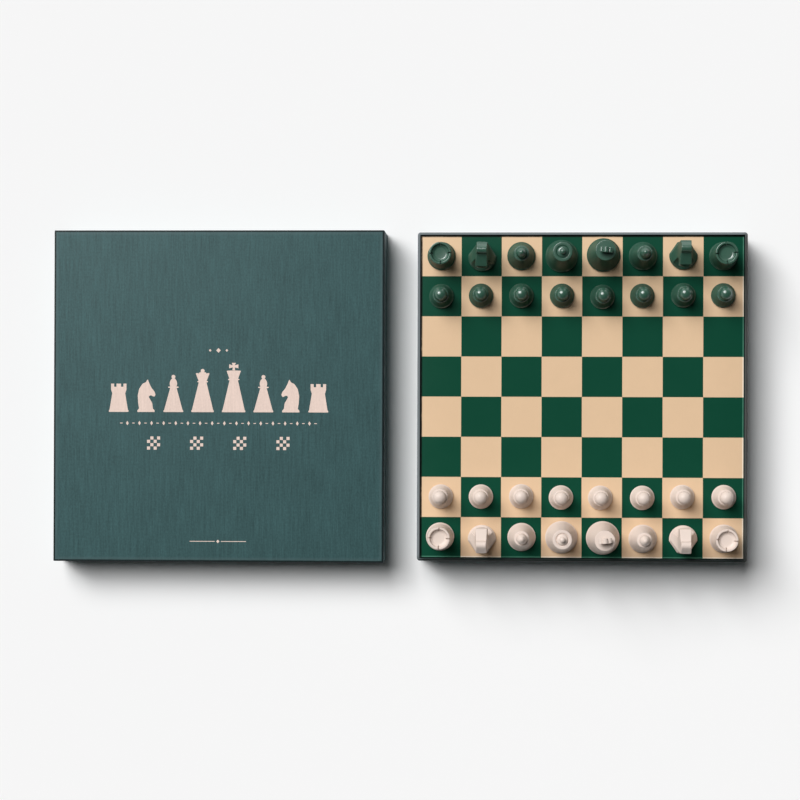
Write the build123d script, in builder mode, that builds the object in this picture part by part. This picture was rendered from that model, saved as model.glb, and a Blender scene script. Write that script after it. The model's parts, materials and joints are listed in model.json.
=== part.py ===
from build123d import *

import os
from math import cos, sin, sqrt

# Boxed chess set, in millimetres.
# The origin is the centre of the tray's underside. +Z is up, and +Y runs from the white side to the green.
# The tray stands open at the origin, with the playing board inside it and the men set up for a game.
# The lid stands on its own rim beside the tray, towards -X.

os.makedirs("parts", exist_ok=True)

# Playing board
square = 38.0
squares_a_side = 8
board_core_thickness = 2.4
board_face_thickness = 0.4
print_depth = 0.15
print_margin = 0.05
underside_thickness = 0.2

# Paper and card of the box
wrap_paper = 0.25
lining_paper = 0.25
base_sheet = 0.3
base_sheet_inset = 1.0
tray_card = 2.0
lid_card = 1.5
turn_in = 16.0
tray_corner_radius = 2.75
lid_corner_radius = 0.8

# Heights of the tray and what is in it
tray_height = 46.0
board_below_rim = 2.0
collar_card = 4.0
divider_card = 3.0

# Fits
board_gap = 1.0
collar_gap = 0.25
lid_gap = 0.5
lid_reveal = 7.5
lid_beside_gap = 32.0
peg_gap = 0.04

# What follows from those
board_side = square * squares_a_side
dark_side = square - 2 * print_margin
board_thickness = underside_thickness + board_core_thickness + board_face_thickness
tray_inner = board_side + 2 * board_gap
tray_card_inner = tray_inner + 2 * wrap_paper
tray_card_outer = tray_card_inner + 2 * tray_card
tray_side = tray_card_outer + 2 * wrap_paper
floor_top = base_sheet + tray_card
lining_top = floor_top + lining_paper
board_top = tray_height - board_below_rim
board_bottom = board_top - board_thickness
collar_side = tray_inner - 2 * collar_gap
collar_inner = collar_side - 2 * collar_card
lid_inner = tray_side + 2 * lid_gap
lid_card_inner = lid_inner + 2 * lining_paper
lid_card_outer = lid_card_inner + 2 * lid_card
lid_side = lid_card_outer + 2 * wrap_paper
lid_inside_height = tray_height - lid_reveal
lid_card_bottom = wrap_paper
lid_lining_top = lid_inside_height + lining_paper
lid_card_top = lid_lining_top + lid_card
lid_height = lid_card_top + wrap_paper
lid_centre = (-(tray_side / 2 + lid_beside_gap + lid_side / 2), 0)


# Tray

with BuildPart() as tray_board:
    with BuildSketch(Plane.XY.offset(base_sheet)):
        RectangleRounded(tray_card_outer, tray_card_outer, tray_corner_radius - wrap_paper)
    extrude(amount=tray_height - wrap_paper - base_sheet)
    with BuildSketch(Plane.XY.offset(floor_top)):
        Rectangle(tray_card_inner, tray_card_inner)
    extrude(amount=tray_height, mode=Mode.SUBTRACT)
tray_board.part.label = "tray_board"
export_step(tray_board.part, "parts/tray_board.step")

with BuildPart() as tray_wrap:
    with BuildSketch(Plane.XY.offset(base_sheet)):
        RectangleRounded(tray_side, tray_side, tray_corner_radius)
    extrude(amount=tray_height - base_sheet)
    with BuildSketch(Plane.XY.offset(base_sheet)):
        RectangleRounded(tray_card_outer, tray_card_outer, tray_corner_radius - wrap_paper)
    extrude(amount=tray_height - wrap_paper - base_sheet, mode=Mode.SUBTRACT)
    with BuildSketch(Plane.XY.offset(tray_height - turn_in)):
        Rectangle(tray_card_inner, tray_card_inner)
    extrude(amount=turn_in - wrap_paper)
    with BuildSketch(Plane.XY.offset(tray_height - turn_in)):
        Rectangle(tray_inner, tray_inner)
    extrude(amount=turn_in, mode=Mode.SUBTRACT)
tray_wrap.part.label = "tray_wrap"
export_step(tray_wrap.part, "parts/tray_wrap.step")

with BuildPart() as tray_base_sheet:
    with BuildSketch():
        RectangleRounded(
            tray_side - 2 * base_sheet_inset,
            tray_side - 2 * base_sheet_inset,
            tray_corner_radius - base_sheet_inset,
        )
    extrude(amount=base_sheet)
tray_base_sheet.part.label = "tray_base_sheet"
export_step(tray_base_sheet.part, "parts/tray_base_sheet.step")

with BuildPart() as tray_lining:
    with BuildSketch(Plane.XY.offset(floor_top)):
        Rectangle(tray_card_inner, tray_card_inner)
    extrude(amount=tray_height - turn_in - floor_top)
    with BuildSketch(Plane.XY.offset(lining_top)):
        Rectangle(tray_inner, tray_inner)
    extrude(amount=tray_height, mode=Mode.SUBTRACT)
tray_lining.part.label = "tray_lining"
export_step(tray_lining.part, "parts/tray_lining.step")

# Insert that carries the playing board and parts the two sets of men

with BuildPart() as insert_collar:
    with BuildSketch(Plane.XY.offset(lining_top)):
        Rectangle(collar_side, collar_side)
        Rectangle(collar_inner, collar_inner, mode=Mode.SUBTRACT)
    extrude(amount=board_bottom - lining_top)
insert_collar.part.label = "insert_collar"
export_step(insert_collar.part, "parts/insert_collar.step")

with BuildPart() as insert_divider:
    with BuildSketch(Plane.XY.offset(lining_top)):
        Rectangle(collar_inner, divider_card)
    extrude(amount=board_bottom - lining_top)
insert_divider.part.label = "insert_divider"
export_step(insert_divider.part, "parts/insert_divider.step")

# Playing board. A dark square is an inlay flush with the light face, as deep as the print is taken to be.


def square_centre(file, rank):
    """Centre of a square in plan. File 0 is the a-file and rank 0 is white's back rank."""
    middle = (squares_a_side - 1) / 2
    return (file - middle) * square, (rank - middle) * square


dark_centres = [
    square_centre(file, rank)
    for file in range(squares_a_side)
    for rank in range(squares_a_side)
    if (file + rank) % 2 == 0
]

with BuildPart() as board_underside:
    with BuildSketch(Plane.XY.offset(board_bottom)):
        Rectangle(board_side, board_side)
    extrude(amount=underside_thickness)
board_underside.part.label = "board_underside"
export_step(board_underside.part, "parts/board_underside.step")

with BuildPart() as board_core:
    with BuildSketch(Plane.XY.offset(board_bottom + underside_thickness)):
        Rectangle(board_side, board_side)
    extrude(amount=board_core_thickness)
board_core.part.label = "board_core"
export_step(board_core.part, "parts/board_core.step")

with BuildPart() as dark_squares:
    with BuildSketch(Plane.XY.offset(board_top - print_depth)):
        with Locations(*dark_centres):
            Rectangle(dark_side, dark_side)
    extrude(amount=print_depth)
dark_squares.part.label = "dark_squares"
export_step(dark_squares.part, "parts/dark_squares.step")

with BuildPart() as board_face:
    with BuildSketch(Plane.XY.offset(board_top - board_face_thickness)):
        Rectangle(board_side, board_side)
    extrude(amount=board_face_thickness)
    with BuildSketch(Plane.XY.offset(board_top - print_depth)):
        with Locations(*dark_centres):
            Rectangle(dark_side, dark_side)
    extrude(amount=print_depth, mode=Mode.SUBTRACT)
board_face.part.label = "board_face"
export_step(board_face.part, "parts/board_face.step")

# Lid, standing on its rim

with BuildPart() as lid_board:
    with BuildSketch(Plane.XY.offset(lid_card_bottom)):
        with Locations(lid_centre):
            RectangleRounded(lid_card_outer, lid_card_outer, lid_corner_radius - wrap_paper)
    extrude(amount=lid_card_top - lid_card_bottom)
    with BuildSketch(Plane.XY.offset(lid_card_bottom)):
        with Locations(lid_centre):
            Rectangle(lid_card_inner, lid_card_inner)
    extrude(amount=lid_lining_top - lid_card_bottom, mode=Mode.SUBTRACT)
lid_board.part.label = "lid_board"
export_step(lid_board.part, "parts/lid_board.step")

with BuildPart() as lid_wrap:
    with BuildSketch():
        with Locations(lid_centre):
            RectangleRounded(lid_side, lid_side, lid_corner_radius)
    extrude(amount=lid_height)
    with BuildSketch(Plane.XY.offset(lid_card_bottom)):
        with Locations(lid_centre):
            RectangleRounded(lid_card_outer, lid_card_outer, lid_corner_radius - wrap_paper)
    extrude(amount=lid_card_top - lid_card_bottom, mode=Mode.SUBTRACT)
    with BuildSketch(Plane.XY.offset(lid_card_bottom)):
        with Locations(lid_centre):
            Rectangle(lid_card_inner, lid_card_inner)
    extrude(amount=turn_in - lid_card_bottom)
    with BuildSketch():
        with Locations(lid_centre):
            Rectangle(lid_inner, lid_inner)
    extrude(amount=turn_in, mode=Mode.SUBTRACT)
lid_wrap.part.label = "lid_wrap"
export_step(lid_wrap.part, "parts/lid_wrap.step")

with BuildPart() as lid_lining:
    with BuildSketch(Plane.XY.offset(turn_in)):
        with Locations(lid_centre):
            Rectangle(lid_card_inner, lid_card_inner)
    extrude(amount=lid_lining_top - turn_in)
    with BuildSketch(Plane.XY.offset(turn_in)):
        with Locations(lid_centre):
            Rectangle(lid_inner, lid_inner)
    extrude(amount=lid_inside_height - turn_in, mode=Mode.SUBTRACT)
lid_lining.part.label = "lid_lining"
export_step(lid_lining.part, "parts/lid_lining.step")

# Men. Each is made about its own axis with its foot at z = 0, and placed on its square afterwards.
# A foot has a small chamfer below, an upright edge and a bevelled shoulder. The body tapers from there.

foot_chamfer = 0.5
foot_edge = 2.0
foot_shoulder = 0.9
foot_top = foot_edge + foot_shoulder
bead = 1.8

pawn_height = 34.0
pawn_base_radius = 11.5
pawn_taper_radius = 4.9
pawn_collar_height = 18.4
pawn_collar_radius = 7.6
pawn_neck_radius = 4.2
pawn_ball_radius = 6.2

officer_base_radius = 13.3

rook_height = 38.0
rook_waist_radius = 8.8
rook_waist_height = 25.0
rook_rim_radius = 10.4
rook_rim_length = 8.0
rook_edge = 0.4
rook_well_radius = 7.5
rook_well_floor_radius = 6.2
rook_well_depth = 3.4
rook_slit = 1.1
rook_slit_depth = 2.6

bishop_height = 50.0
bishop_taper_radius = 4.3
bishop_collar_height = 32.5
bishop_collar_radius = 6.6
bishop_head_foot_radius = 4.4
bishop_head_radius = 5.5
bishop_head_swell = 3.6
bishop_ball_radius = 2.3
bishop_ball_neck_radius = 1.5

queen_height = 58.0
queen_base_radius = 15.2
queen_taper_radius = 5.2
queen_collar_height = 40.0
queen_collar_radius = 7.4
queen_crown_foot_radius = 5.4
queen_crown_radius = 9.15
queen_crown_length = 10.6
queen_crown_edge = 0.9
queen_rim_width = 2.8
queen_dish_depth = 0.9
queen_dome_radius = 5.4
queen_dome_shoulder_radius = 4.0
queen_dome_shoulder_rise = 1.8
queen_ball_radius = 2.65
queen_ball_neck_radius = 1.7

king_base_radius = 15.8
king_taper_radius = 5.6
king_collar_height = 43.0
king_collar_radius = 7.9
king_crown_foot_radius = 5.8
king_crown_radius = 9.35
king_crown_length = 9.6
king_crown_edge = 1.0
king_crown_rise = 1.6
king_seat_radius = 3.2

cross_foot_radius = 2.7
cross_foot_height = 1.2
cross_height = 10.2
cross_span = 12.4
cross_arm = 3.2
cross_arm_drop = 5.0
cross_flare_radius = 2.4
cross_thickness = 4.6
cross_peg_radius = 1.25
cross_peg_depth = 4.0

knight_height = 44.0
knight_back = 13.2
knight_back_width = 11.2
knight_back_bulge = 0.6
knight_hip_angle = -0.12
knight_corner = 2.0
knight_ledge = 0.3
knight_flare_height = 24.0
knight_flank_hollow = 2.0
knight_cheek = 5.6
knight_poll_cheek = 4.4
knight_eye_length = 3.2
knight_eye_height = 1.7
knight_eye_tilt = -38
knight_eye_depth = 1.0
knight_mouth_gap = 0.8
knight_mouth_length = 3.4

# Points of the knight's side outline, each as its reach ahead of the axis and its drop below the poll
knight_nape = (-12.0, 14.0)
knight_mane = (-9.9, 5.6)
knight_crest = (-6.6, 1.1)
knight_poll = (-3.4, 0)
knight_brow = (-0.9, 1.6)
knight_bridge = (0.3, 5.6)
knight_nose = (10.8, 18.4)
knight_upper_lip = (11.7, 20.6)
knight_lower_lip = (12.1, 22.8)
knight_chin = (9.8, 23.8)
knight_jaw = (6.8, 23.8)
knight_throat = (3.2, 25.4)
knight_windpipe = (4.6, 32.4)
knight_eye = (4.0, 13.2)
knight_mouth = (11.9, 21.5)


def foot(base_radius, body_radius, body_height):
    """Draws the half outline of a foot and the body above it, from the axis out and up to the collar."""
    Polyline(
        (0, 0),
        (base_radius - foot_chamfer, 0),
        (base_radius, foot_chamfer),
        (base_radius, foot_edge),
        (base_radius - foot_shoulder, foot_top),
        (body_radius, body_height),
    )


def collar(radius, low, under_radius, upper_radius):
    """Draws a collar with a pointed bead edge, from the body to the neck over it. Returns its top."""
    top = low + bead
    Polyline(
        (under_radius, low),
        (radius - bead / 2, low),
        (radius, low + bead / 2),
        (radius - bead / 2, top),
        (upper_radius, top),
    )
    return upper_radius, top


def ball(radius, top, neck_radius):
    """Draws a ball on the axis up to its top. Returns where the neck under it starts."""
    centre = top - radius
    neck = (neck_radius, centre - sqrt(radius**2 - neck_radius**2))
    ThreePointArc(neck, (radius, centre), (0, top))
    return neck


with BuildPart() as pawn:
    with BuildSketch(Plane.XZ):
        with BuildLine():
            foot(pawn_base_radius, pawn_taper_radius, pawn_collar_height)
            over = collar(pawn_collar_radius, pawn_collar_height, pawn_taper_radius, pawn_neck_radius)
            under_ball = ball(pawn_ball_radius, pawn_height, pawn_neck_radius)
            Line(over, under_ball)
            Line((0, pawn_height), (0, 0))
        make_face()
    revolve(axis=Axis.Z)

with BuildPart() as rook:
    rim_low = rook_height - rook_rim_length
    well_floor = rook_height - rook_well_depth
    with BuildSketch(Plane.XZ):
        with BuildLine():
            foot(officer_base_radius, rook_waist_radius, rook_waist_height)
            Polyline(
                (rook_waist_radius, rook_waist_height),
                (rook_rim_radius, rim_low),
                (rook_rim_radius, rook_height - rook_edge),
                (rook_rim_radius - rook_edge, rook_height),
                (rook_well_radius, rook_height),
                (rook_well_floor_radius, well_floor),
                (0, well_floor),
                (0, 0),
            )
        make_face()
    revolve(axis=Axis.Z)
    with BuildSketch(Plane.XY.offset(rook_height - rook_slit_depth)):
        Rectangle(3 * rook_rim_radius, rook_slit)
        Rectangle(rook_slit, 3 * rook_rim_radius)
        Circle(rook_well_floor_radius, mode=Mode.SUBTRACT)
    extrude(amount=rook_slit_depth, mode=Mode.SUBTRACT)

with BuildPart() as bishop:
    with BuildSketch(Plane.XZ):
        with BuildLine():
            foot(officer_base_radius, bishop_taper_radius, bishop_collar_height)
            over = collar(
                bishop_collar_radius, bishop_collar_height, bishop_taper_radius, bishop_head_foot_radius
            )
            under_ball = ball(bishop_ball_radius, bishop_height, bishop_ball_neck_radius)
            ThreePointArc(over, (bishop_head_radius, over[1] + bishop_head_swell), under_ball)
            Line((0, bishop_height), (0, 0))
        make_face()
    revolve(axis=Axis.Z)

with BuildPart() as queen:
    with BuildSketch(Plane.XZ):
        with BuildLine():
            foot(queen_base_radius, queen_taper_radius, queen_collar_height)
            over = collar(
                queen_collar_radius, queen_collar_height, queen_taper_radius, queen_crown_foot_radius
            )
            rim = over[1] + queen_crown_length
            dish = rim - queen_dish_depth
            Polyline(
                over,
                (queen_crown_radius, rim - queen_crown_edge),
                (queen_crown_radius - queen_crown_edge / 2, rim),
                (queen_crown_radius - queen_rim_width, rim),
                (queen_dome_radius, dish),
            )
            under_ball = ball(queen_ball_radius, queen_height, queen_ball_neck_radius)
            dome_shoulder = (queen_dome_shoulder_radius, dish + queen_dome_shoulder_rise)
            ThreePointArc((queen_dome_radius, dish), dome_shoulder, under_ball)
            Line((0, queen_height), (0, 0))
        make_face()
    revolve(axis=Axis.Z)

# The king's crown has a flat seat on top, and a hole for the peg of the cross.

with BuildPart() as king:
    with BuildSketch(Plane.XZ):
        with BuildLine():
            foot(king_base_radius, king_taper_radius, king_collar_height)
            over = collar(king_collar_radius, king_collar_height, king_taper_radius, king_crown_foot_radius)
            crown_top = over[1] + king_crown_length
            king_seat = crown_top + king_crown_rise
            hole_radius = cross_peg_radius + peg_gap
            hole_floor = king_seat - cross_peg_depth - peg_gap
            Polyline(
                over,
                (king_crown_radius, crown_top - king_crown_edge),
                (king_crown_radius, crown_top),
                (king_seat_radius, king_seat),
                (hole_radius, king_seat),
                (hole_radius, hole_floor),
                (0, hole_floor),
                (0, 0),
            )
        make_face()
    revolve(axis=Axis.Z)

with BuildPart() as king_cross:
    cross_top = king_seat + cross_height
    stem_foot = king_seat + cross_foot_height
    arm_height = cross_top - cross_arm_drop
    arm_reach = cross_span / 2 - cross_flare_radius
    top_reach = cross_top - cross_flare_radius
    with BuildSketch(Plane.XY.offset(king_seat - cross_peg_depth)):
        Circle(cross_peg_radius)
    extrude(amount=cross_peg_depth)
    with BuildSketch(Plane.XY.offset(king_seat)):
        Circle(cross_foot_radius)
    extrude(amount=cross_foot_height)
    with BuildSketch(Plane.XZ):
        with Locations((0, arm_height)):
            Rectangle(2 * arm_reach, cross_arm)
        with Locations((0, stem_foot)):
            Rectangle(cross_arm, top_reach - stem_foot, align=(Align.CENTER, Align.MIN))
        with Locations((0, arm_height), (-arm_reach, arm_height), (arm_reach, arm_height), (0, top_reach)):
            Circle(cross_flare_radius)
    extrude(amount=cross_thickness / 2, both=True)

# The knight's foot is round at the front and narrows in two straight flanks to the back of the neck.
# Its head is the side outline, cut through the front outline and kept within the foot's shoulder.
# It faces +Y.

with BuildSketch() as knight_plan:
    with BuildLine():
        hip = (officer_base_radius * cos(knight_hip_angle), officer_base_radius * sin(knight_hip_angle))
        tail = (knight_back_width / 2, -knight_back + knight_back_bulge)
        ThreePointArc(hip, (0, officer_base_radius), (-hip[0], hip[1]))
        Line((-hip[0], hip[1]), (-tail[0], tail[1]))
        ThreePointArc((-tail[0], tail[1]), (0, -knight_back), tail)
        Line(tail, hip)
    make_face()
    fillet(knight_plan.vertices(), knight_corner)

knight_inset = foot_shoulder + knight_ledge

with BuildSketch() as knight_head_plan:
    add(knight_plan.sketch)
    offset(amount=-knight_inset)


def below_poll(point):
    """Turns a reach and a drop below the poll into a point of the side outline."""
    return point[0], knight_height - point[1]


with BuildPart() as knight_head:
    with BuildSketch(Plane.YZ):
        with BuildLine():
            neck_foot = (-knight_back + knight_inset, foot_top)
            chest = (officer_base_radius - knight_inset, foot_top)
            nape = below_poll(knight_nape)
            crest = below_poll(knight_crest)
            brow = below_poll(knight_brow)
            upper_lip = below_poll(knight_upper_lip)
            chin = below_poll(knight_chin)
            throat = below_poll(knight_throat)
            Line(neck_foot, nape)
            ThreePointArc(nape, below_poll(knight_mane), crest)
            ThreePointArc(crest, below_poll(knight_poll), brow)
            Polyline(brow, below_poll(knight_bridge), below_poll(knight_nose), upper_lip)
            ThreePointArc(upper_lip, below_poll(knight_lower_lip), chin)
            ThreePointArc(chin, below_poll(knight_jaw), throat)
            ThreePointArc(throat, below_poll(knight_windpipe), chest)
            Line(chest, neck_foot)
        make_face()
    extrude(amount=officer_base_radius, both=True)
    with BuildSketch(Plane.XZ):
        with BuildLine():
            skirt = (officer_base_radius, foot_top)
            cheek = (knight_cheek, knight_flare_height)
            over_poll = (knight_poll_cheek, knight_height + foot_top)
            hollow = (knight_cheek + knight_flank_hollow, (knight_flare_height + foot_edge) / 2)
            Line((0, foot_top), skirt)
            ThreePointArc(skirt, hollow, cheek)
            Polyline(cheek, over_poll, (0, over_poll[1]))
            mirror(about=Plane.YZ)
        make_face()
    extrude(amount=2 * officer_base_radius, both=True, mode=Mode.INTERSECT)
    extrude(knight_head_plan.sketch, amount=knight_height + foot_top, mode=Mode.INTERSECT)
    with BuildSketch(Plane.YZ):
        with Locations(below_poll(knight_mouth)):
            Rectangle(2 * knight_mouth_length, knight_mouth_gap)
    extrude(amount=officer_base_radius, both=True, mode=Mode.SUBTRACT)
    for cheek_side in (1, -1):
        with BuildSketch(Plane.YZ.offset(cheek_side * (knight_cheek - knight_eye_depth))):
            with Locations(below_poll(knight_eye)):
                Ellipse(knight_eye_length / 2, knight_eye_height / 2, rotation=knight_eye_tilt)
        extrude(amount=cheek_side * officer_base_radius, mode=Mode.SUBTRACT)

with BuildPart() as knight:
    extrude(knight_plan.sketch, amount=foot_top)
    chamfer(knight.faces().sort_by(Axis.Z)[0].edges(), foot_chamfer)
    chamfer(knight.faces().sort_by(Axis.Z)[-1].edges(), foot_shoulder)
    add(knight_head.part)

# The men on their squares, as set by hand. Each stands a little off its square's centre, towards the
# h-file and towards the green side, and is turned a little anticlockwise from facing the other side.

back_rank = [rook, knight, bishop, queen, king, bishop, knight, rook]
back_rank_names = ["rook_a", "knight_b", "bishop_c", "queen", "king", "bishop_f", "knight_g", "rook_h"]
pawn_names = [f"pawn_{letter}" for letter in "abcdefgh"]
pawn_rank = [pawn] * squares_a_side
last_rank = squares_a_side - 1

white_officers_off = [(-0.5, 0.5), (1, -1.5), (0.5, 0.5), (0, 0.5), (1, 0), (0.5, -0.5), (0.5, -1), (0.5, 0)]
white_officers_turn = [-2, 0, 0, 0, 5, 0, 0, -5]
white_pawns_off = [(0, 0.5), (0, 0.5), (0, 1), (-0.5, 0), (-1.5, 0), (0, 0), (-0.5, 1), (0.5, 1)]
green_officers_off = [(0, 0), (0.5, -1), (-0.5, 0), (-0.5, 0), (1, 1), (0, 0), (0, 0.5), (-0.5, 0)]
green_officers_turn = [2, -2, 0, 0, -4, 0, 0, 4]
green_pawns_off = [(0, 0), (-0.5, 0.5), (-0.5, 0.5), (0, 0.5), (0, -0.5), (-0.5, 0.5), (0, 1), (-0.5, 1)]
pawns_turn = [0] * squares_a_side

set_up = [
    ("white", 0, back_rank_names, back_rank, white_officers_off, white_officers_turn, 0),
    ("white", 1, pawn_names, pawn_rank, white_pawns_off, pawns_turn, 0),
    ("green", last_rank, back_rank_names, back_rank, green_officers_off, green_officers_turn, 180),
    ("green", last_rank - 1, pawn_names, pawn_rank, green_pawns_off, pawns_turn, 180),
]

for side, rank, names, men, offs, turns, facing in set_up:
    for file, (name, man, off, turn) in enumerate(zip(names, men, offs, turns)):
        centre = square_centre(file, rank)
        stand = Location((centre[0] + off[0], centre[1] + off[1], board_top), (0, 0, facing + turn))
        pieces = [(name, man)] + ([(f"{name}_cross", king_cross)] if man is king else [])
        for piece_name, piece in pieces:
            with BuildPart() as standing:
                with Locations(stand):
                    add(piece.part)
            standing.part.label = f"{side}_{piece_name}"
            export_step(standing.part, f"parts/{side}_{piece_name}.step")
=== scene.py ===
"""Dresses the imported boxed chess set: box, lift-out board, lid and 32 men, on a pale floor."""

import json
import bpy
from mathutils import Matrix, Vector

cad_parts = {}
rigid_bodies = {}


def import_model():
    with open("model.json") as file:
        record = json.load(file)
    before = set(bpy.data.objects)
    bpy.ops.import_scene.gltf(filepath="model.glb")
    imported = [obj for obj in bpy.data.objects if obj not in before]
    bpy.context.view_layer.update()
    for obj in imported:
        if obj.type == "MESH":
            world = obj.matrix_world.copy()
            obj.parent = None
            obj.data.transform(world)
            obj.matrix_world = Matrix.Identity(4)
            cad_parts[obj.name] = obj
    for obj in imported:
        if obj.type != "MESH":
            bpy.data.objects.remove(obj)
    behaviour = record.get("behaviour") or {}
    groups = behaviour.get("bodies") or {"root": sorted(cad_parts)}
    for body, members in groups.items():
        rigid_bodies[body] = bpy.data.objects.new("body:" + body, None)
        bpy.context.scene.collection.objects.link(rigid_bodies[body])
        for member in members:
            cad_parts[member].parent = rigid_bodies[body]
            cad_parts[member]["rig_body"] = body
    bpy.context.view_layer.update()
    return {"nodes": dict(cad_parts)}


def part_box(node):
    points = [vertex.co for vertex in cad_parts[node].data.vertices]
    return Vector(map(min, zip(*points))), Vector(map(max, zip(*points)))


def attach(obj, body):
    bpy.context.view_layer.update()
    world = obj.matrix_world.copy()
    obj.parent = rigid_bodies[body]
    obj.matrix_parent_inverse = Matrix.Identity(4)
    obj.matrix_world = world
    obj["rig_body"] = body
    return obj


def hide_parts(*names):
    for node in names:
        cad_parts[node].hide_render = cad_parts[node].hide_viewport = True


bl_info = {
    "name": "Boxed chess set",
    "version": (1, 0, 0),
    "blender": (4, 5, 0),
    "location": "3D View > Sidebar > Chess Set",
    "description": "Models the linen-papered box, the printed board and the men over the packed frame",
    "category": "Object",
}

from math import acos, atan2, cos, pi, radians, sin, sqrt, tan

import bmesh
import bpy
from mathutils import Matrix, Vector

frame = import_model()

MM = 0.001


# Sizes and colours that a user would change


def length(name, description, millimetres):
    """A size, written in millimetres and kept in metres."""
    return bpy.props.FloatProperty(
        name=name, description=description, default=millimetres * MM, unit="LENGTH", precision=5
    )


def colour(name, description, *rgb):
    """A scene-linear colour."""
    return bpy.props.FloatVectorProperty(
        name=name, description=description, default=rgb, size=3, min=0, max=1, subtype="COLOR"
    )


def share(name, description, value):
    """A share of the whole, from 0 to 1."""
    return bpy.props.FloatProperty(
        name=name, description=description, default=value, min=0, max=1, subtype="FACTOR"
    )


def angle(name, description, degrees):
    """An angle, written in degrees and kept in radians."""
    return bpy.props.FloatProperty(
        name=name, description=description, default=radians(degrees), subtype="ANGLE"
    )


def vector(name, description, kind, *xyz):
    """A direction, or a place in metres."""
    unit = "LENGTH" if kind == "TRANSLATION" else "NONE"
    return bpy.props.FloatVectorProperty(
        name=name, description=description, default=xyz, subtype=kind, unit=unit
    )


def count(name, description, value):
    """A whole number."""
    return bpy.props.IntProperty(name=name, description=description, default=value, min=1)


class BoxLooks(bpy.types.PropertyGroup):
    """Paper, card and rims of the tray and the lid."""

    paper: length("Paper", "Thickness of the covering paper", 0.25)
    turn_in: length("Turn-in", "Depth of the covering paper inside the rims", 16)
    lid_edge: length("Lid edge", "Rounding of the lid's outer edges", 0.75)
    lid_rim: length("Lid rim", "Rounding of the lid's rim", 0.4)
    tray_corner: length("Tray corner", "Rounding of the tray's upright corners", 2.75)
    tray_rim: length("Tray rim", "Rounding of the tray's rim outside", 2)
    tray_lip: length("Tray lip", "Rounding of the tray's rim inside", 0.3)
    linen: colour("Linen paper", "Colour of the covering paper", 0.038, 0.091, 0.094)
    linen_contrast: share("Linen contrast", "How far the threads differ in tone", 0.35)
    # The next three colours are painted light and shade on the tray's rim fold: a painted highlight at the
    # upper left, grey painted shade at the right and dark painted shade below.
    painted_highlight: colour("Rubbed linen", "Colour of the paper where the tray's rim is rubbed", 0.16, 0.18, 0.19)
    right_fold_shade: colour("Right fold shade", "Colour of the tray's fold at the right", 0.075, 0.075, 0.07)
    lower_fold_shade: colour("Lower fold shade", "Colour of the tray's fold at the lower side", 0.012, 0.016, 0.015)
    # The next colour is painted shade along the lid's folded edges.
    folded: colour("Lid fold shade", "Colour of the lid's folds", 0.005, 0.011, 0.012)
    # The crest colour is a painted highlight: a lighter band just inside the lid's folds.
    crest_highlight: colour("Crest_Highlight", "Colour of the covering paper just inside the lid's folds", 0.10, 0.15, 0.155)
    crest_highlight_share: share("Crest share", "How strongly the crest shows", 0.3)
    # The fold share sets how strongly the painted light and shade on the folds show, and the two fold
    # lengths below set how far it reaches.
    painted_fold_share: share("Fold share", "How strongly the folds show", 0.95)
    tray_fold: length("Tray fold", "How far the tray's fold reaches from its edge", 2.7)
    lid_fold: length("Lid fold", "How far the lid's folds reach from its edges", 1.75)
    lining: colour("Lining", "Colour of the paper inside", 0.03, 0.055, 0.055)
    greyboard: colour("Greyboard", "Colour of the raw board", 0.30, 0.27, 0.235)
    insert: colour("Insert card", "Colour of the insert", 0.02, 0.045, 0.04)


class BoardLooks(bpy.types.PropertyGroup):
    """The printed playing board."""

    edge: length("Printed edge", "Rounding of the face's upper edge", 0.36)
    clearance: length("Corner clearance", "How far a dark square stays inside its place", 0.02)
    ink: length("Ink", "How far the dark squares stand above the light face", 0.02)
    light: colour("Light squares", "Colour of the light print", 0.742, 0.525, 0.335)
    dark: colour("Dark squares", "Colour of the dark print", 0.0055, 0.060, 0.0335)
    # The next two colours are a painted highlight along the board's right and lower edges, the one after is
    # painted shade along its left and upper edges, and the border is their width.
    light_highlight: colour("Rubbed light print", "Light print where it is rubbed", 0.96, 0.84, 0.68)
    dark_highlight: colour("Rubbed dark print", "Dark print where it is rubbed", 0.07, 0.22, 0.15)
    painted_shade: colour("Soiled print", "Print where its edges are soiled", 0.004, 0.006, 0.005)
    border: length("Border", "Width of the rubbed and the soiled edges", 1.1)


class OrnamentLooks(bpy.types.PropertyGroup):
    """The ornament stamped on the lid. Its rows are measured from the lid's middle to the green side."""

    ink: colour("Ink", "Colour of the stamped ink", 0.78, 0.61, 0.53)
    thickness: length("Ink thickness", "How far the ink stands above the paper", 0.03)
    men_row: length("Row of men", "Ground line of the row of men", -15.4)
    men_width: length("Row of men width", "Width of the row of men", 210)
    men_scale: share("Men scale", "Size of the stamped men, as a share of the real ones", 0.71)
    star_row: length("Upper lozenges", "Middle line of the upper lozenges", 43.5)
    braid_row: length("Braid", "Middle line of the row of lozenges and dashes", -26)
    braid_width: length("Braid width", "Width of the row of lozenges and dashes", 186)
    chequer_row: length("Chequers", "Middle line of the four small chequer boards", -45)
    chequer_pitch: length("Chequer pitch", "Distance between the small chequer boards", 41.3)
    chequer_square: length("Chequer square", "Side of a square of the small chequer boards", 3.2)
    rule_row: length("Rule", "Middle line of the rule near the lid's lower edge", -138.5)
    rule_width: length("Rule width", "Width of the rule", 54)


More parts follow.
